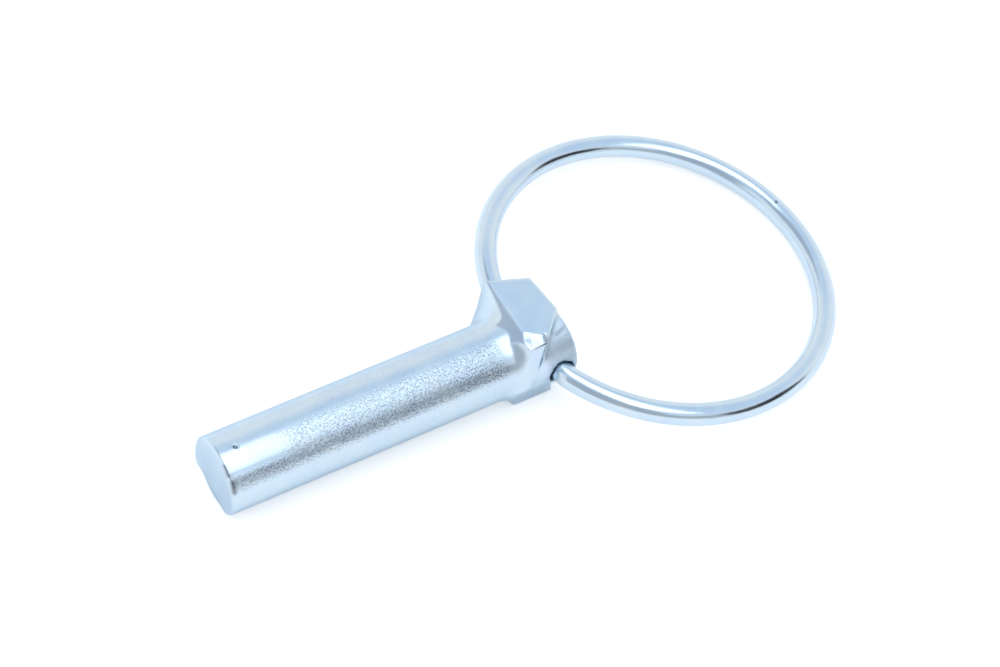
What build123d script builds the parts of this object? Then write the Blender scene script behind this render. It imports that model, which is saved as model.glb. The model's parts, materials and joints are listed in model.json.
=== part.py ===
from build123d import *
import math
import os

# Lynch pin: one forged pin and one spring wire ring, lying as they come to rest.
# Lengths are millimetres. Both pieces are drawn with x along the shank from its tip, y to the
# far side and z up from the parting plane of the forging, and are then laid on the ground.

# Shank, from its cropped tip to the foot of the head
shank_d = 11.0
shank_len = 40.6
tip_break = 0.4

# Head: the bar swells a little into a round core, cut off in line with the ring's hinge
core_swell = 0.4
core_swell_len = 5.2
head_len = 11.0
end_break = 0.45

# Forged block round the core. Rises are out from the core and insets are in from the shank,
# first on the parting plane and then on the two flats
flat_rise = 0.6
near_rise = 0.35
near_flat_inset = 1.3
far_front_rise = 4.3
far_front_flat_rise = 4.15
far_back_rise = 1.5
far_back_flat_inset = 0.15
cut_x = 4.0
upper_cut_flat_x = 6.9
lower_cut_back = 1.4
cut_back_reach = 1.5
cut_back_flat_reach = 1.0
flat_break = 0.35

# Front of each half: a concave root, a gusset that runs the long side onto the shank, and a bevel
# across both that ends on the flat
upper_set_back = 4.58
lower_set_back = 3.55
root_r = 3.4
root_spare = 0.16
gusset_x = 0.8
gusset_slope_deg = 42.5
gusset_inset = 2.3
gusset_flat_inset = 3.0
gusset_lead = 0.55
gusset_flat_run = 0.4
bevel_deg = 25.5

# Two blind holes on the staggered hinge line
near_hole_x = 8.9
hole_stagger = 1.7
hole_d = 4.2
hole_depth = 4.4

# Snap ring, a round wire with two straight stubs on the hinge line
wire_d = 3.2
ring_mean_d = 48.6
stub_bend_r = 3.5
stub_len = 3.6
stub_out = 0.7
stub_break = 0.3
hole_slack = 0.12

# One overrun serves every cut
overrun = 1.0

shank_r = shank_d / 2
core_r = shank_r + core_swell
wire_r = wire_d / 2
ring_r = ring_mean_d / 2
hole_r = hole_d / 2
flat_z = core_r + flat_rise
near_reach = core_r + near_rise
near_flat_reach = shank_r - near_flat_inset
far_front_reach = core_r + far_front_rise
far_back_reach = core_r + far_back_rise
block_end = shank_len + head_len + overrun

# Hole centres on the side faces, and the ring's hinge line, pulled out against the holes' walls
hole_near = Vector(shank_len + near_hole_x, -core_r, 0)
hole_far_x = hole_near.X - hole_stagger
far_share = (hole_far_x - shank_len) / (block_end - shank_len)
hole_far = Vector(hole_far_x, far_front_reach + (far_back_reach - far_front_reach) * far_share, 0)
hinge_dir = (hole_far - hole_near).normalized()
out_dir = Vector(hinge_dir.Y, -hinge_dir.X, 0)
hinge_mid = (hole_near + hole_far) / 2 + out_dir * (hole_r - wire_r - hole_slack)
half_span = (hole_far - hole_near).length / 2
ring_set_out = math.sqrt(ring_r**2 - (half_span + stub_out) ** 2)
ring_reach = ring_set_out + ring_r

# The pin leans on its tip and on the head's underside, and the ring hangs to the ground
pin_lean = math.atan((flat_z - shank_r) / (shank_len + lower_set_back - tip_break))
ground_at_ring_end = shank_r + math.tan(pin_lean) * (hinge_mid.X + ring_reach * out_dir.X - tip_break)
ring_droop_deg = math.degrees(math.asin((ground_at_ring_end - wire_r) / ring_reach))


def turned(outline):
    """A round solid about the shank's axis; the outline is in length and radius."""
    return revolve(make_face(outline), Axis.X)


def block_half(height, cut_flat_x):
    """Half of the forged block, drawn in from the parting plane to its flat."""
    parting = [
        (shank_len, -near_reach),
        (shank_len, far_front_reach),
        (block_end, far_back_reach),
        (block_end, cut_back_reach),
        (shank_len + cut_x, -near_reach),
    ]
    flat = [
        (shank_len, -near_flat_reach),
        (shank_len, core_r + far_front_flat_rise),
        (block_end, shank_r - far_back_flat_inset),
        (block_end, cut_back_flat_reach),
        (shank_len + cut_flat_x, -near_flat_reach),
    ]
    sections = [make_face(Polyline(*parting, close=True))]
    sections.append(Pos(0, 0, height) * make_face(Polyline(*flat, close=True)))
    return loft(sections, ruled=True)


def gusset(height, front_x):
    """What lies behind the gusset's sloping front, from the parting plane to the flat."""
    reach = far_front_reach + overrun
    slope = math.tan(math.radians(gusset_slope_deg))
    parting = [
        (shank_len + gusset_x - gusset_inset / slope, shank_r - gusset_inset),
        (shank_len + gusset_x + (reach - shank_r) / slope, reach),
        (block_end, reach),
        (block_end, shank_r - gusset_inset),
    ]
    flat = [
        (front_x - gusset_lead, shank_r - gusset_flat_inset),
        (front_x - gusset_lead + gusset_flat_run, reach),
        (block_end, reach),
        (block_end, shank_r - gusset_flat_inset),
    ]
    sections = [make_face(Polyline(*parting, close=True))]
    sections.append(Pos(0, 0, height) * make_face(Polyline(*flat, close=True)))
    return loft(sections, ruled=True)


def front_form(set_back, height):
    """What the block's front is trimmed to."""
    front_x = shank_len + set_back
    foot = (front_x - root_r, shank_r)
    rise = math.hypot(near_flat_reach, flat_z) + root_spare - shank_r
    rim = (foot[0] + math.sqrt(root_r**2 - (root_r - rise) ** 2), shank_r + rise)
    root = TangentArc(foot, rim, tangent=(1, 0))
    root += Polyline(rim, (block_end, rim[1]), (block_end, 0), (foot[0], 0), foot)
    drop_share = 1 - root_r * math.tan(math.radians(bevel_deg)) / flat_z
    over_share = 1 + overrun / flat_z
    bevel = [
        (front_x, height),
        (foot[0], height * drop_share),
        (foot[0], height * over_share),
        (front_x, height * over_share),
    ]
    bevel_face = Plane.XZ * make_face(Polyline(*bevel, close=True))
    wide_bevel = extrude(bevel_face, amount=far_front_reach + overrun, both=True)
    return turned(root) + gusset(height, front_x) - wide_bevel


def head_core():
    """The round bar, swelled a little where the block grips it."""
    outline = [
        (shank_len, 0),
        (shank_len, shank_r),
        (shank_len + core_swell_len, core_r),
        (block_end, core_r),
        (block_end, 0),
    ]
    return turned(Polyline(*outline, close=True))


def ring_hole(mouth, inward):
    start = mouth - inward * hole_r
    return extrude(Plane(origin=start, z_dir=inward) * Circle(hole_r), amount=hole_depth + hole_r)


def forged_pin():
    head_end = Plane(origin=(shank_len + head_len, 0, 0), z_dir=out_dir)
    core = split(head_core(), bisect_by=head_end, keep=Keep.BOTTOM)
    core = chamfer(core.faces().sort_by(Axis.X)[-1].edges(), end_break)
    upper = block_half(flat_z, upper_cut_flat_x) & front_form(upper_set_back, flat_z)
    lower = block_half(-flat_z, head_len - lower_cut_back) & front_form(lower_set_back, -flat_z)
    block = split(upper + lower, bisect_by=head_end, keep=Keep.BOTTOM)
    shank = extrude(Plane.YZ * Circle(shank_r), amount=shank_len)
    shank = chamfer(shank.edges().group_by(Axis.X)[0], tip_break)
    body = shank + core + block
    flats = body.faces().filter_by(Axis.Z).sort_by(Axis.Z)
    below_edges = flats[0].edges().sort_by(Axis.X)[1:]
    above_edges = flats[-1].edges().sort_by(Axis.X)[1:]
    body = chamfer(below_edges + above_edges, flat_break)
    return body - ring_hole(hole_near, hinge_dir) - ring_hole(hole_far, -hinge_dir)


def snap_ring():
    """The wire in its own plane: x along the hinge line, y out across the loop."""
    bend_x = math.sqrt((ring_r - stub_bend_r) ** 2 - (ring_set_out - stub_bend_r) ** 2)
    swing = ring_r / (ring_r - stub_bend_r)
    turn = Vector(bend_x * swing, ring_set_out + (stub_bend_r - ring_set_out) * swing)
    near_turn = Vector(-turn.X, turn.Y)
    stub_end = half_span - stub_len
    path = [
        Line((-stub_end, 0), (-bend_x, 0)),
        TangentArc((-bend_x, 0), near_turn, tangent=(-1, 0)),
        ThreePointArc(near_turn, (0, ring_reach), turn),
        TangentArc((bend_x, 0), turn, tangent=(1, 0)),
        Line((stub_end, 0), (bend_x, 0)),
    ]
    section = Plane(origin=(-stub_end, 0, 0), z_dir=(-1, 0, 0)) * Circle(wire_r)
    wire = sweep(section, path=Wire(path))
    wire = chamfer(wire.faces().filter_by(GeomType.PLANE).edges(), stub_break)
    hinge = Plane(origin=hinge_mid, x_dir=hinge_dir, z_dir=(0, 0, -1))
    return hinge.location * Rot(X=ring_droop_deg) * wire


os.makedirs("parts", exist_ok=True)
pin = forged_pin()
ring = snap_ring()

# Lay both pieces down, with the origin under the middle of their joint box
lean = Rot(Y=-math.degrees(pin_lean))
box = Compound([lean * pin, lean * ring]).bounding_box()
lay = Pos(-box.center().X, -box.center().Y, -box.min.Z) * lean
export_step(lay * pin, "parts/pin_body.step")
export_step(lay * ring, "parts/snap_ring.step")
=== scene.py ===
"""Looks for the lynch pin: a forged pin and a wire ring in bright zinc, on a white studio floor."""
import json
import math

import bmesh
import bpy
import numpy as np
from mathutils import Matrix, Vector


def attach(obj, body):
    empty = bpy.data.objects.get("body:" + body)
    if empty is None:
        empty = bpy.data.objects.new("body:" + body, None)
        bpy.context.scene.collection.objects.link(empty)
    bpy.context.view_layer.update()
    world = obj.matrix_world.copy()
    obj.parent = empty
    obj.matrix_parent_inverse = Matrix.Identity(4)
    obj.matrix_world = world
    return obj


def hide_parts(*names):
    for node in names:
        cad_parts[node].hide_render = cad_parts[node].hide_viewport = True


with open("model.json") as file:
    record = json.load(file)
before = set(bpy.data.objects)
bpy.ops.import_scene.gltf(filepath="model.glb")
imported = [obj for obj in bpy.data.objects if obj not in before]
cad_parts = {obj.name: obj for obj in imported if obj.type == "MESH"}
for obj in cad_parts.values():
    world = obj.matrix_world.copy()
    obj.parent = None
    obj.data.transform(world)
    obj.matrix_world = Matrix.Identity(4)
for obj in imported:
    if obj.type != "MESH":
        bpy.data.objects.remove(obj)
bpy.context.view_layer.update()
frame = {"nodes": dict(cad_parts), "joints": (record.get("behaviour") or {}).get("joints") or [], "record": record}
MM = 0.001

# The pin's own frame: x from the tip along the shank, y to the far side, z up, in millimetres
TIP_BREAK = 0.4
shank = next(m for m in frame["record"]["mounts"] if m["name"] == "shank")
SHANK_R = shank["dims"]["r_mm"]
SHANK_LEN = shank["dims"]["length_mm"] + TIP_BREAK
along = -Vector(shank["axis"])
far = Vector((0.0, 1.0, 0.0))
up = along.cross(far)
tip = Vector(shank["pos_m"]) - along * (SHANK_LEN + TIP_BREAK) / 2 * MM
pin_axes = np.array([along, far, up])


def to_pin(points):
    return (points - np.array(tip)) @ pin_axes.T / MM


def to_scene(points):
    return points * MM @ pin_axes + np.array(tip)


# The ring's hinge line, in the pin's frame
hinge = frame["joints"][0]
hinge_mid = to_pin(np.array([hinge["pos_m"]]))[0]
hinge_way = pin_axes @ np.array(hinge["axis"])


def across_hinge(p):
    """The way from the hinge line to each point, square to that line."""
    from_hinge = p - hinge_mid
    return from_hinge - np.outer(from_hinge @ hinge_way, hinge_way)


def round_shank(p):
    """Each point's radius from the shank's axis, and its turn from the top to the near side."""
    return np.hypot(p[:, 1], p[:, 2]), np.degrees(np.arctan2(-p[:, 1], p[:, 2]))


def ease(low, high, value):
    """0 below low, 1 above high and smooth between them."""
    t = np.clip((value - low) / (high - low), 0.0, 1.0)
    return t * t * (3.0 - 2.0 * t)


def window(low, high, soft, value):
    """1 between low and high, with soft ends."""
    return ease(low - soft, low, value) * (1.0 - ease(high, high + soft, value))


# A hash of whole numbers, so that the noise is the same on every run
HASH_PRIMES = (73856093, 19349663, 83492791)
HASH_SEED_STEP = 2654435
HASH_MIX = 1274126177
HASH_MASK = 0x7FFFFFFF
HASH_TOP = 0xFFFFFF


def hash_01(cells, seed):
    """A fixed number from 0 to 1 for each whole-number cell."""
    x, y, z = (cells[:, i] * prime for i, prime in enumerate(HASH_PRIMES))
    n = x ^ y ^ z ^ (seed * HASH_SEED_STEP)
    n = (n ^ (n >> 13)) & HASH_MASK
    n = (n * HASH_MIX) & HASH_MASK
    n = (n ^ (n >> 16)) & HASH_TOP
    return n / float(HASH_TOP)


def noise(points, seed):
    """Smooth noise from -1 to 1 with cells one unit wide."""
    base = np.floor(points).astype(np.int64)
    t = points - base
    t = t * t * (3.0 - 2.0 * t)
    total = np.zeros(len(points))
    for corner in range(8):
        bits = np.array([corner & 1, (corner >> 1) & 1, (corner >> 2) & 1])
        total += np.prod(np.where(bits, t, 1.0 - t), axis=1) * hash_01(base + bits, seed)
    return total * 2.0 - 1.0


def near_line(p, start, end, reach):
    """1 on a straight stretch, fading out over its reach."""
    start, end = np.array(start), np.array(end)
    share = np.clip((p - start) @ (end - start) / np.sum((end - start) ** 2), 0.0, 1.0)
    away = np.linalg.norm(p - start - np.outer(share, end - start), axis=1)
    return np.exp(-((away / reach) ** 2))


def read_points(mesh, what):
    values = np.empty(len(mesh.vertices) * 3)
    mesh.vertices.foreach_get(what, values)
    return values.reshape(-1, 3)


def write_points(mesh, points):
    mesh.vertices.foreach_set("co", points.ravel())
    mesh.update()


def add_object(name, mesh):
    obj = bpy.data.objects.new(name, mesh)
    bpy.context.scene.collection.objects.link(obj)
    return obj


def applied(obj):
    """The object's mesh with its modifiers applied; the object goes."""
    graph = bpy.context.evaluated_depsgraph_get()
    mesh = bpy.data.meshes.new_from_object(obj.evaluated_get(graph))
    bpy.data.objects.remove(obj)
    return mesh


# Forged pin: the CAD solid, remeshed finely so that its edges soften and its skin can be worked.
# Places and lengths are in the pin's frame and turns are in degrees. A pair is where a change
# starts and ends, and a third number is the soft border of a window.
WELD = 0.001 * MM
VOXEL = 0.184 * MM


def remeshed_pin():
    bm = bmesh.new()
    bm.from_mesh(frame["nodes"]["pin_body"].data)
    bmesh.ops.remove_doubles(bm, verts=bm.verts, dist=WELD)
    mesh = bpy.data.meshes.new("pin_blank")
    bm.to_mesh(mesh)
    bm.free()
    blank = add_object("pin_blank", mesh)
    voxels = blank.modifiers.new("voxels", "REMESH")
    voxels.mode = "VOXEL"
    voxels.voxel_size = VOXEL
    return applied(blank)


# What is smoothed: the forged head clear of its holes, and more so the ledge on the near side's
# parting line and the foot of the gusset on the far side
FORGED_X = (38.0, 42.0)
CLEAR_OF_HOLES = (2.6, 3.4)
LEDGE_X = (41.0, 44.6, 0.8)
LEDGE_NEAR = (4.6, 5.4)
LEDGE_HEIGHT = (1.2, 2.2)
GUSSET_X = (40.2, 43.4, 1.2)
GUSSET_FAR = (2.2, 3.4)
SHARE_STEPS = (0.25, 0.5, 0.75, 1.0)
HALF_STEP = 0.125
SMOOTH_FACTOR = 0.5
SMOOTH_ROUNDS = (("all", 3), ("forged", 5), ("blends", 48))


def softened(mesh):
    """Forged edges are round, the cropped tip and the drilled holes are crisp."""
    points = to_pin(read_points(mesh, "co"))
    x, y, z = points.T
    blank = add_object("pin_soft", mesh)
    off_hinge = np.linalg.norm(across_hinge(points), axis=1)
    forged = ease(*FORGED_X, x) * ease(*CLEAR_OF_HOLES, off_hinge)
    ledge = window(*LEDGE_X, x) * ease(*LEDGE_NEAR, -y) * (1.0 - ease(*LEDGE_HEIGHT, np.abs(z)))
    gusset = window(*GUSSET_X, x) * ease(*GUSSET_FAR, y)
    shares = {"forged": forged, "blends": np.maximum(ledge, gusset)}
    for name, values in shares.items():
        group = blank.vertex_groups.new(name=name)
        for share in SHARE_STEPS:
            picked = np.flatnonzero(np.abs(values - share) <= HALF_STEP)
            group.add(picked.tolist(), share, "REPLACE")
    for name, rounds in SMOOTH_ROUNDS:
        smooth = blank.modifiers.new(name, "SMOOTH")
        smooth.factor = SMOOTH_FACTOR
        smooth.iterations = rounds
        if name in shares:
            smooth.vertex_group = name
    return applied(blank)


# Where the mesh is made finer, round the small marks: the middle and the reach
PIT_AT = np.array([2.85, -0.2, SHANK_R])
RIM_AT = np.array([0.0, -2.6, 4.8])
DENT_AT = np.array([46.3, -3.0, 6.4])
FINE_PLACES = ((PIT_AT, 0.8), (RIM_AT, 1.6), (DENT_AT, 2.3))
FINE_CUTS = 2


def refine(mesh):
    """More, smaller faces round small marks."""
    bm = bmesh.new()
    bm.from_mesh(mesh)
    points = to_pin(read_points(mesh, "co"))
    picked = np.zeros(len(points), bool)
    for at, reach in FINE_PLACES:
        picked |= np.linalg.norm(points - at, axis=1) < reach
    bm.verts.ensure_lookup_table()
    inside = set(np.flatnonzero(picked).tolist())
    edges = [e for e in bm.edges if e.verts[0].index in inside and e.verts[1].index in inside]
    bmesh.ops.subdivide_edges(bm, edges=edges, cuts=FINE_CUTS, use_grid_fill=True)
    bm.to_mesh(mesh)
    bm.free()


ROLL_TURN = (165, 215, 30)
ROLL_RADIUS = (2.0, 5.4)
ROLL_X = (0.4, 2.4)
ROLL_DEPTH = 0.5
FACE_X = (0.0, 0.7)
FACE_WAVE = 0.1
FACE_WAVE_LEN = 2.6
FACE_SEED = 21
NICK_TURN = (22, 35, 3)
NICK_RADIUS = (4.7, 5.4)
NICK_X = (0.05, 0.5)
NICK_DEPTH = 0.45
NICK_DRAW_IN = 0.05


def work_tip(p):
    """The cropped end: a rolled lower edge, a shallow wave over the face and a nick in the rim."""
    radius, turn = round_shank(p)
    turn = turn % 360
    rolled = window(*ROLL_TURN, turn) * ease(*ROLL_RADIUS, radius) * (1.0 - ease(*ROLL_X, p[:, 0]))
    p[:, 0] += ROLL_DEPTH * rolled
    face = 1.0 - ease(*FACE_X, p[:, 0])
    p[:, 0] += face * (FACE_WAVE + FACE_WAVE * noise(p / FACE_WAVE_LEN, FACE_SEED))
    nick = window(*NICK_TURN, turn) * ease(*NICK_RADIUS, radius) * (1.0 - ease(*NICK_X, p[:, 0]))
    p[:, 0] += NICK_DEPTH * nick
    p[:, 1:] *= (1.0 - NICK_DRAW_IN * nick)[:, None]


PIT_WALL = (0.08, 0.34)
PIT_DEPTH = 0.34
PIT_RIM = (0.36, 0.46, 0.12)
PIT_RIM_RISE = 0.05


def work_pit(p):
    """A small round pit on top of the shank, with a faint raised rim."""
    reach = np.linalg.norm(p - PIT_AT, axis=1)
    p[:, 2] -= PIT_DEPTH * (1.0 - ease(*PIT_WALL, reach))
    p[:, 2] += PIT_RIM_RISE * window(*PIT_RIM, reach)


LIP_REACH = (2.5, 3.1)
LIP_RISE = 0.52
LEAST_OFF = 0.01


def work_holes(p):
    """The drill's burr narrows each hole to the wire, on the side that shows a gap."""
    inward = np.array([-hinge_way[1], hinge_way[0], 0.0])
    across = across_hinge(p)
    off = np.linalg.norm(across, axis=1)
    side = np.clip((across @ inward) / np.maximum(off, LEAST_OFF), 0.0, 1.0)
    lip = (1.0 - ease(*LIP_REACH, off)) * side
    p -= inward * (LIP_RISE * lip)[:, None]


# The dent's plane, and the box round the corner that it flattens
DENT_NORMAL = (-0.106, -0.138, 0.985)
DENT_PLANE_AT = (45.48, -1.0, 6.55)
DENT_MID_X = 46.2
DENT_HALF_X = 2.0
DENT_FAR_Y = -0.6
DENT_LOW_Z = 5.2
DENT_SINK = 0.05
CRUMPLE_TURN = np.array([[0.77, -0.56, 0.3], [0.62, 0.76, -0.19], [-0.12, 0.33, 0.94]])
CRUMPLE_LEN = 1.1
CRUMPLE_RELIEF = 0.06
CRUMPLE_SEED = 31
# Two grooves: the dent's edge, and a scuff on the core
DENT_EDGE = ((47.6, -3.15, 6.43), (47.42, -3.9, 6.35))
DENT_GROOVE = 0.1
CORE_MARK = ((49.8, -2.9, 5.14), (51.0, -2.58, 5.3))
CORE_GROOVE = 0.05
GROOVE_REACH = 0.3


def work_dent(p):
    """A blow has flattened the near front corner of the head's upper flat."""
    normal = np.array(DENT_NORMAL)
    normal /= np.linalg.norm(normal)
    above = (p - np.array(DENT_PLANE_AT)) @ normal
    corner = np.abs(p[:, 0] - DENT_MID_X) < DENT_HALF_X
    corner &= (p[:, 1] < DENT_FAR_Y) & (p[:, 2] > DENT_LOW_Z) & (above > 0)
    crumple = CRUMPLE_RELIEF * noise(p @ CRUMPLE_TURN / CRUMPLE_LEN, CRUMPLE_SEED)
    p[corner] -= normal * (above + crumple + DENT_SINK)[corner][:, None]
    p[:, 2] -= DENT_GROOVE * near_line(p, *DENT_EDGE, GROOVE_REACH)
    p[:, 2] -= CORE_GROOVE * near_line(p, *CORE_MARK, GROOVE_REACH)


# The skin is rough along the near upper side of the shank and in a strip at the tip, and faint
# elsewhere; the core's bare end is matt
SKIN_START = (6.0, 12.0)
SKIN_END = (40.6, 42.2)
SKIN_TURN = (12, 56, 10)
SKIN_LEAST = 0.15
SKIN_MORE = 0.85
STRIP_START = (0.3, 1.5)
STRIP_END = (10.0, 14.0)
STRIP_TURN = (44, 60, 8)
STRIP_SKIN = 0.8
MATT_X = (46.8, 48.2)
MATT_RADIUS = (6.0, 6.3)
MATT_SKIN = 0.25
# Relief: cells a millimetre, height and seed
FINE_GRAIN = ((1.6, 2.6, 2.6), 0.006, 3)
COARSE_GRAIN = ((0.55, 1.3, 1.3), 0.008, 5)
WAVE_LEN = 4.2
WAVE_RELIEF = 0.025
WAVE_SEED = 11
SKIN_SINK = 0.02


def grain_relief(p, cells, height, seed):
    return noise(p * cells, seed) * height


def work_skin(p, normals):
    """Forging skin on the shank, and soft waves everywhere; returns the shares of skin and matt."""
    x = p[:, 0]
    radius, turn = round_shank(p)
    skin = ease(*SKIN_START, x) * (1.0 - ease(*SKIN_END, x))
    skin = skin * (SKIN_LEAST + SKIN_MORE * window(*SKIN_TURN, turn))
    strip = STRIP_SKIN * ease(*STRIP_START, x) * (1.0 - ease(*STRIP_END, x))
    skin = np.maximum(skin, strip * window(*STRIP_TURN, turn))
    matt = ease(*MATT_X, x) * (1.0 - ease(*MATT_RADIUS, radius))
    skin = np.maximum(skin, MATT_SKIN * matt)
    grain = grain_relief(p, *FINE_GRAIN) + grain_relief(p, *COARSE_GRAIN)
    lift = skin * grain + WAVE_RELIEF * noise(p / WAVE_LEN, WAVE_SEED) - SKIN_SINK
    p += normals * lift[:, None]
    return skin, matt


# Painted shade: dark lines in the dent's grooves and borders, the core's scuff, the tip's rim and nick, and the
# pit: from, to, how wide and how dark
RIM_NICK = ((0.3, -2.02, 5.0), (0.3, -3.1, 4.42))
PAINTED_SHADE_LINES = (
    (*DENT_EDGE, 0.3, 0.7),
    ((45.1, -4.15, 6.08), (47.3, -4.2, 6.3), 0.14, 0.75),
    ((45.62, -2.4, 6.37), (45.17, -3.8, 6.14), 0.1, 0.6),
    (*CORE_MARK, 0.3, 0.4),
    (*RIM_NICK, 0.32, 0.95),
    ((0.6, -3.97, 3.75), (0.5, -4.78, 2.65), 0.38, 0.8),
    ((2.74, -0.1, 5.3), (2.96, -0.3, 5.3), 0.2, 0.85),
)


# Painted shade: how dark each point is, from the nearest of the lines above
def painted_shade_at(p):
    return np.max([dark * near_line(p, *line, reach) for *line, reach, dark in PAINTED_SHADE_LINES], axis=0)


def forged_pin():
    mesh = softened(remeshed_pin())
    refine(mesh)
    p = to_pin(read_points(mesh, "co"))
    normals = read_points(mesh, "normal") @ pin_axes.T
    skin, matt = work_skin(p, normals)
    # Painted shade in the creases, grooves, nick and pit
    painted_shade = painted_shade_at(p)
    work_tip(p)
    work_pit(p)
    work_holes(p)
    work_dent(p)
    # Painted shade also where the worked marks have moved the points
    painted_shade = np.maximum(painted_shade, painted_shade_at(p))
    write_points(mesh, to_scene(p))
    for name, values in (("skin", skin), ("matt", matt), ("painted_shade", painted_shade)):
        mesh.attributes.new(name, "FLOAT", "POINT").data.foreach_set("value", values)
    mesh.polygons.foreach_set("use_smooth", [True] * len(mesh.polygons))
    mesh.name = "forged_pin"
    mesh.materials.clear()
    return add_object("forged_pin", mesh)


# Wire ring, swept along its own line: two stubs on the hinge line, two bends and the loop. The wire
# is a little thinner than in CAD, so that it stays inside the CAD box
WIRE_R = 1.588
RING_R = 24.3
BEND_R = 3.5
HALF_SPAN = 7.26
STUB_LEN = 3.6
STUB_OUT = 0.7
STUB_BREAK = 0.3
RING_CENTRE = Vector((23.0196, 0.0, 4.1816)) * MM
STUB_STEPS = 6
BEND_STEPS = 16
LOOP_STEPS = 180
AROUND = 56
WIRE_UV = "along_wire"
UV_LENGTH = 10


def half_line():
    """The wire's middle line in its own plane, from a stub's end to the far middle of the loop."""
    set_out = math.sqrt(RING_R**2 - (HALF_SPAN + STUB_OUT) ** 2)
    bend_x = math.sqrt((RING_R - BEND_R) ** 2 - (set_out - BEND_R) ** 2)
    stub_end = HALF_SPAN - STUB_LEN
    straight = bend_x - stub_end - STUB_BREAK
    meet = math.atan2(BEND_R - set_out, bend_x)
    line = [(stub_end, 0.0)]
    for i in range(STUB_STEPS):
        line.append((stub_end + STUB_BREAK + straight * i / STUB_STEPS, 0.0))
    for i in range(BEND_STEPS):
        angle = -math.pi / 2 + (meet + math.pi / 2) * i / BEND_STEPS
        line.append((bend_x + BEND_R * math.cos(angle), BEND_R + BEND_R * math.sin(angle)))
    for i in range(LOOP_STEPS + 1):
        angle = meet + (math.pi / 2 - meet) * i / LOOP_STEPS
        line.append((RING_R * math.cos(angle), set_out + RING_R * math.sin(angle)))
    return line


def wire_ring():
    half = half_line()
    line = [Vector(p) for p in half] + [Vector((-x, y)) for x, y in reversed(half[:-1])]
    start = Vector(hinge["pos_m"])
    line_way = Vector(hinge["axis"]).normalized()
    out_way = (RING_CENTRE - start).normalized()
    lift_way = line_way.cross(out_way)
    bm = bmesh.new()
    uv = bm.loops.layers.uv.new(WIRE_UV)
    rows = []
    run = [0.0]
    for i, at in enumerate(line):
        ahead = (line[min(i + 1, len(line) - 1)] - line[max(i - 1, 0)]).normalized()
        side = Vector((-ahead.y, ahead.x))
        radius = WIRE_R - STUB_BREAK if i in (0, len(line) - 1) else WIRE_R
        if i:
            run.append(run[-1] + (at - line[i - 1]).length)
        row = []
        for k in range(AROUND):
            turn = 2 * math.pi * k / AROUND
            flat = at + side * radius * math.cos(turn)
            lift = lift_way * radius * math.sin(turn)
            place = (line_way * flat.x + out_way * flat.y + lift) * MM
            row.append(bm.verts.new(start + place))
        rows.append(row)
    for i in range(len(rows) - 1):
        for k in range(AROUND):
            n = (k + 1) % AROUND
            face = bm.faces.new((rows[i][k], rows[i + 1][k], rows[i + 1][n], rows[i][n]))
            cells = ((i, k), (i + 1, k), (i + 1, k + 1), (i, k + 1))
            for loop, (step, column) in zip(face.loops, cells):
                loop[uv].uv = (run[step] / UV_LENGTH, column / AROUND)
    bm.faces.new(rows[0])
    bm.faces.new(rows[-1])
    bmesh.ops.recalc_face_normals(bm, faces=bm.faces)
    for face in bm.faces:
        face.smooth = len(face.verts) == 4
    mesh = bpy.data.meshes.new("wire_ring")
    bm.to_mesh(mesh)
    bm.free()
    return add_object("wire_ring", mesh)


pin = forged_pin()
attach(pin, "pin")
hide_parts("pin_body")
ring = wire_ring()
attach(ring, "ring")
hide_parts("snap_ring")


class Nodes:
    """A short way to write a material's node tree."""

    def __init__(self, name):
        self.material = bpy.data.materials.new(name)
        self.material.use_nodes = True
        self.tree = self.material.node_tree
        self.tree.nodes.clear()
        self.out = self.add("ShaderNodeOutputMaterial")

    def add(self, kind, inputs=None, **settings):
        node = self.tree.nodes.new(kind)
        for key, value in settings.items():
            setattr(node, key, value)
        for key, value in (inputs or {}).items():
            if isinstance(value, bpy.types.NodeSocket):
                self.tree.links.new(value, node.inputs[key])
            else:
                node.inputs[key].default_value = value
        return node

    def finish(self, socket):
        self.tree.links.new(socket, self.out.inputs["Surface"])
        return self.material

    def math(self, operation, first, second):
        return self.add("ShaderNodeMath", {0: first, 1: second}, operation=operation).outputs[0]

    def noise(self, vector, scale, detail, stretch=None):
        if stretch:
            mapped = self.add("ShaderNodeMapping", {"Vector": vector, "Scale": stretch})
            vector = mapped.outputs["Vector"]
        node = self.add("ShaderNodeTexNoise", {"Vector": vector, "Scale": scale, "Detail": detail})
        return node.outputs["Fac"]

    def spread(self, value, low, high, to_low, to_high):
        node = self.add("ShaderNodeMapRange", {0: value, 1: low, 2: high, 3: to_low, 4: to_high})
        return node.outputs[0]

    def mix(self, share, first, second, blend="MIX"):
        node = self.add("ShaderNodeMix", {0: share, 6: first, 7: second},
                        data_type="RGBA", blend_type=blend)
        return node.outputs[2]

    def tint(self, value, stops):
        ramp = self.add("ShaderNodeValToRGB", {"Fac": value})
        for i, (at, colour) in enumerate(stops):
            stop = ramp.color_ramp.elements[i] if i < 2 else ramp.color_ramp.elements.new(at)
            stop.position = at
            stop.color = (*colour, 1.0)
        return ramp.outputs["Color"]


# Bright zinc, in patches of slightly different casts: two outer stops and the one between them
ZINC_STOPS = ((0.32, (0.63, 0.74, 0.86)), (0.68, (0.68, 0.79, 0.86)), (0.5, (0.64, 0.77, 0.86)))
PATCH_RANGE = (0.3, 0.7)
# Painted shade: the grey that darkens the skin's pores
PORE_SHADE = (0.52, 0.53, 0.55, 1.0)
# The dark of the painted shade in creases and grooves, and of the ring's dark speck
DARK_SPECK_AND_SHADE = (0.13, 0.14, 0.16, 1.0)
EDGE_TINT = (0.69, 0.76, 0.82, 1.0)

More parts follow.
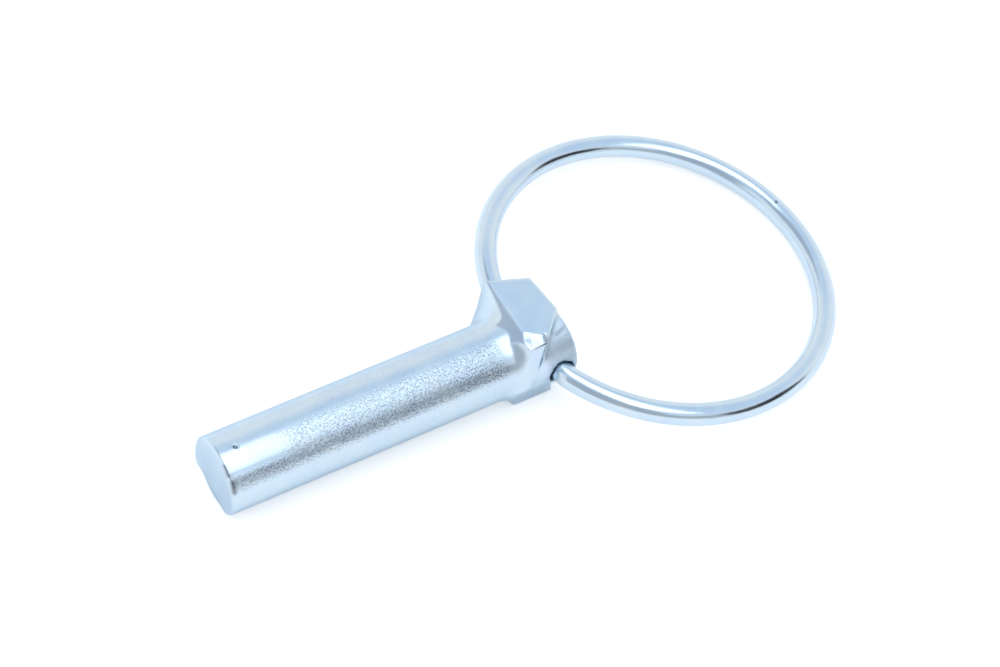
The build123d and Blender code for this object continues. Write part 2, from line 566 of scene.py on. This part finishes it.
# Noise on the pin: cells a metre, detail and, where the cells are drawn out along the pin, stretch
PIN_PATCHES = (260, 3)
PIN_GRAIN = (4800, 2, (0.7, 1.0, 1.0))
PIN_STREAKS = (1500, 2, (0.12, 1.0, 1.0))
PIN_FINE = (1100, 4)
PIN_PORE_SHADE = (5000, 1, (0.7, 1.0, 1.0))
STREAK_SHARE = 0.6
PIN_FINE_SHARE = 0.12
PIN_BUMP = {"Strength": 0.55, "Distance": 0.0001}
PIN_ROUGH = (0.2, 0.27)
SKIN_ROUGH = 0.05
MATT_ROUGH = 0.22
PORE_SHADE_RANGE = (0.46, 0.6)
PORE_SHADE_SHARE = (0.0, 0.75)


def forged_zinc():
    n = Nodes("forged_zinc")
    place = n.add("ShaderNodeTexCoord").outputs["Object"]
    # Attributes: the skin, the matt end and the painted shade in creases and grooves
    skin, matt, painted_shade = (n.add("ShaderNodeAttribute", attribute_name=name).outputs["Fac"]
                         for name in ("skin", "matt", "painted_shade"))
    patches = n.noise(place, *PIN_PATCHES)
    streaks = n.math("MULTIPLY", n.noise(place, *PIN_STREAKS), STREAK_SHARE)
    relief = n.math("ADD", n.noise(place, *PIN_GRAIN), streaks)
    fine = n.math("MULTIPLY", n.noise(place, *PIN_FINE), PIN_FINE_SHARE)
    height = n.math("ADD", n.math("MULTIPLY", relief, skin), fine)
    bump = n.add("ShaderNodeBump", {"Height": height, **PIN_BUMP})
    rough = n.spread(patches, *PATCH_RANGE, *PIN_ROUGH)
    rough = n.math("ADD", rough, n.math("MULTIPLY", skin, SKIN_ROUGH))
    rough = n.math("ADD", rough, n.math("MULTIPLY", matt, MATT_ROUGH))
    # Painted shade: the forging skin darkened in small pores, standing in for dark specks of reflection
    pore_shade = n.spread(n.noise(place, *PIN_PORE_SHADE), *PORE_SHADE_RANGE, *PORE_SHADE_SHARE)
    zinc = n.tint(patches, ZINC_STOPS)
    pore_shaded = n.mix(n.math("MULTIPLY", pore_shade, skin), zinc, PORE_SHADE, "MULTIPLY")
    shader = n.add("ShaderNodeBsdfPrincipled", {
        "Metallic": 1.0,
        # Painted shade: the base colour darkened along the creases, grooves, nick and pit
        "Base Color": n.mix(painted_shade, pore_shaded, DARK_SPECK_AND_SHADE),
        "Roughness": rough,
        "Specular Tint": EDGE_TINT,
        "Normal": bump.outputs["Normal"],
    })
    return n.finish(shader.outputs["BSDF"])


# Noise on the ring as above; the draw lines follow the wire. The speck is a dark spot on its plate
RING_PATCHES = (300, 3)
RING_DRAW = (30, 3, (0.35, 1.0, 1.0))
RING_FINE = (1800, 3)
DRAW_SHARE = 0.5
RING_FINE_SHARE = 0.1
RING_BUMP = {"Strength": 0.25, "Distance": 0.00006}
RING_ROUGH = (0.15, 0.21)
SPECK_AT = (0.046655, 0.00447, 0.003187)
SPECK_REACH = (0.00012, 0.00036)
SPECK_SHARE = (0.85, 0.0)


def wire_zinc():
    n = Nodes("wire_zinc")
    along_wire = n.add("ShaderNodeUVMap", uv_map=WIRE_UV).outputs["UV"]
    place = n.add("ShaderNodeTexCoord").outputs["Object"]
    patches = n.noise(place, *RING_PATCHES)
    draw = n.math("MULTIPLY", n.noise(along_wire, *RING_DRAW), DRAW_SHARE)
    fine = n.math("MULTIPLY", n.noise(place, *RING_FINE), RING_FINE_SHARE)
    bump = n.add("ShaderNodeBump", {"Height": n.math("ADD", draw, fine), **RING_BUMP})
    away = n.add("ShaderNodeVectorMath", {0: place, 1: SPECK_AT}, operation="DISTANCE")
    speck = n.spread(away.outputs["Value"], *SPECK_REACH, *SPECK_SHARE)
    shader = n.add("ShaderNodeBsdfPrincipled", {
        "Metallic": 1.0,
        "Base Color": n.mix(speck, n.tint(patches, ZINC_STOPS), DARK_SPECK_AND_SHADE),
        "Roughness": n.spread(patches, *PATCH_RANGE, *RING_ROUGH),
        "Normal": bump.outputs["Normal"],
    })
    return n.finish(shader.outputs["BSDF"])


pin.data.materials.append(forged_zinc())
ring.data.materials.append(wire_zinc())

# Studio: a white floor in a white tent, a softbox over the part with a fill lamp beside it that
# reflections don't show, and cards round the tent's opening
FLOOR_HALF = 3.0
FLOOR_PAPER = (0.9, 0.9, 0.9, 1.0)
FLOOR_GLOW = 0.34
FLOOR_MIRRORED = 0.12


def floor_white():
    """White paper that glows a little for the camera, and less where metal mirrors it."""
    n = Nodes("floor_white")
    path = n.add("ShaderNodeLightPath").outputs
    mirrored = n.math("MAXIMUM", path["Is Glossy Ray"], path["Is Transmission Ray"])
    seen = n.math("MULTIPLY", path["Is Camera Ray"], FLOOR_GLOW)
    level = n.math("ADD", seen, n.math("MULTIPLY", mirrored, FLOOR_MIRRORED))
    paper = n.add("ShaderNodeBsdfDiffuse", {"Color": FLOOR_PAPER})
    glow = n.add("ShaderNodeEmission", {"Strength": level})
    both = n.add("ShaderNodeAddShader", {0: paper.outputs["BSDF"], 1: glow.outputs["Emission"]})
    return n.finish(both.outputs["Shader"])


def card_glow(name, colour):
    n = Nodes(name)
    glow = n.add("ShaderNodeEmission", {"Color": (*colour, 1.0)})
    return n.finish(glow.outputs["Emission"])


def stage_mesh(name, points, faces, material):
    mesh = bpy.data.meshes.new(name)
    mesh.from_pydata(points, [], faces)
    mesh.materials.append(material)
    obj = add_object(name, mesh)
    return obj


sides = ((-1, -1), (1, -1), (1, 1), (-1, 1))
corners = [(x * FLOOR_HALF, y * FLOOR_HALF, 0.0) for x, y in sides]
stage_mesh("floor", corners, [(0, 1, 2, 3)], floor_white())

# Cards: name, azimuths and elevations seen from the part, colour, and whether it lights the floor
CARD_R = 0.7
CARD_STEPS = 16
CARDS = (
    ("tent_gap_left", (-165, -69), (11, 31), (0.48, 0.5, 0.54), True),
    ("tent_gap", (-69, -25), (8, 33), (0.03, 0.03, 0.035), True),
    ("tent_side", (-170, -100), (31, 58), (0.47, 0.52, 0.6), False),
    ("tent_corner", (95, 165), (34, 64), (0.48, 0.53, 0.63), False),
)


def card(name, azimuths, elevations, colour, lights):
    """A curved card beside the tent's opening, out of the camera's sight."""
    points = []
    for turn in np.radians(np.linspace(*azimuths, CARD_STEPS)).tolist():
        for elevation in elevations:
            height = math.tan(math.radians(elevation))
            points.append((CARD_R * math.cos(turn), CARD_R * math.sin(turn), CARD_R * height))
    faces = [(i, i + 2, i + 3, i + 1) for i in range(0, len(points) - 2, 2)]
    obj = stage_mesh(name, points, faces, card_glow(name, colour))
    obj.visible_camera = False
    obj.visible_diffuse = lights
    obj.visible_shadow = False


for row in CARDS:
    card(*row)

# Lamps: sides in heights from the part's middle
LAMP_HEIGHT = 0.7
SOFTBOX_X = (-0.3, 0.33)
FILL_X = (-1.35, -0.3)
LAMP_Y = (-0.75, 0.36)
LAMP_LEVEL = 1.05
LAMP_COLOUR = (1.0, 0.94, 0.87)


def level_lamp(name, x_range):
    """A level lamp over the part, out of the camera's sight."""
    lamp = bpy.data.lights.new(name, "AREA")
    lamp.shape = "RECTANGLE"
    lamp.size = (x_range[1] - x_range[0]) * LAMP_HEIGHT
    lamp.size_y = (LAMP_Y[1] - LAMP_Y[0]) * LAMP_HEIGHT
    lamp.energy = math.pi * lamp.size * lamp.size_y * LAMP_LEVEL
    lamp.color = LAMP_COLOUR
    obj = bpy.data.objects.new(name, lamp)
    middle = [sum(side) / 2 * LAMP_HEIGHT for side in (x_range, LAMP_Y)]
    obj.location = (*middle, LAMP_HEIGHT)
    obj.visible_camera = False
    bpy.context.scene.collection.objects.link(obj)
    return obj


level_lamp("softbox", SOFTBOX_X)
level_lamp("fill", FILL_X).visible_glossy = False

# The tent's light by height, from near the horizon up: where and which colour
TENT_STOPS = ((0.48, (0.97, 0.975, 0.99, 1.0)), (0.78, (0.66, 0.77, 0.92, 1.0)))

world = bpy.data.worlds.new("tent")
world.use_nodes = True
tree = world.node_tree
where = tree.nodes.new("ShaderNodeTexCoord")
split = tree.nodes.new("ShaderNodeSeparateXYZ")
fade = tree.nodes.new("ShaderNodeValToRGB")
for stop, (at, colour) in zip(fade.color_ramp.elements, TENT_STOPS):
    stop.position = at
    stop.color = colour
tree.links.new(where.outputs["Generated"], split.inputs[0])
tree.links.new(split.outputs["Z"], fade.inputs["Fac"])
tree.links.new(fade.outputs["Color"], tree.nodes["Background"].inputs["Color"])
bpy.context.scene.world = world

# Camera, fitted to the outline of the shank and the ring
SENSOR_WIDTH = 36.0
LENS = 112.9
CLIP_START = 0.01
CAMERA_AT = Vector((-173.219, -190.784, 343.292)) * MM
CAMERA_TURN_DEG = (36.344, -8.207, -30.805)

camera_data = bpy.data.cameras.new("camera")
camera_data.sensor_width = SENSOR_WIDTH
camera_data.lens = LENS
camera_data.clip_start = CLIP_START
camera = bpy.data.objects.new("camera", camera_data)
camera.location = CAMERA_AT
camera.rotation_euler = [math.radians(a) for a in CAMERA_TURN_DEG]
bpy.context.scene.collection.objects.link(camera)
bpy.context.scene.camera = camera
bpy.context.scene.view_settings.view_transform = "Standard"
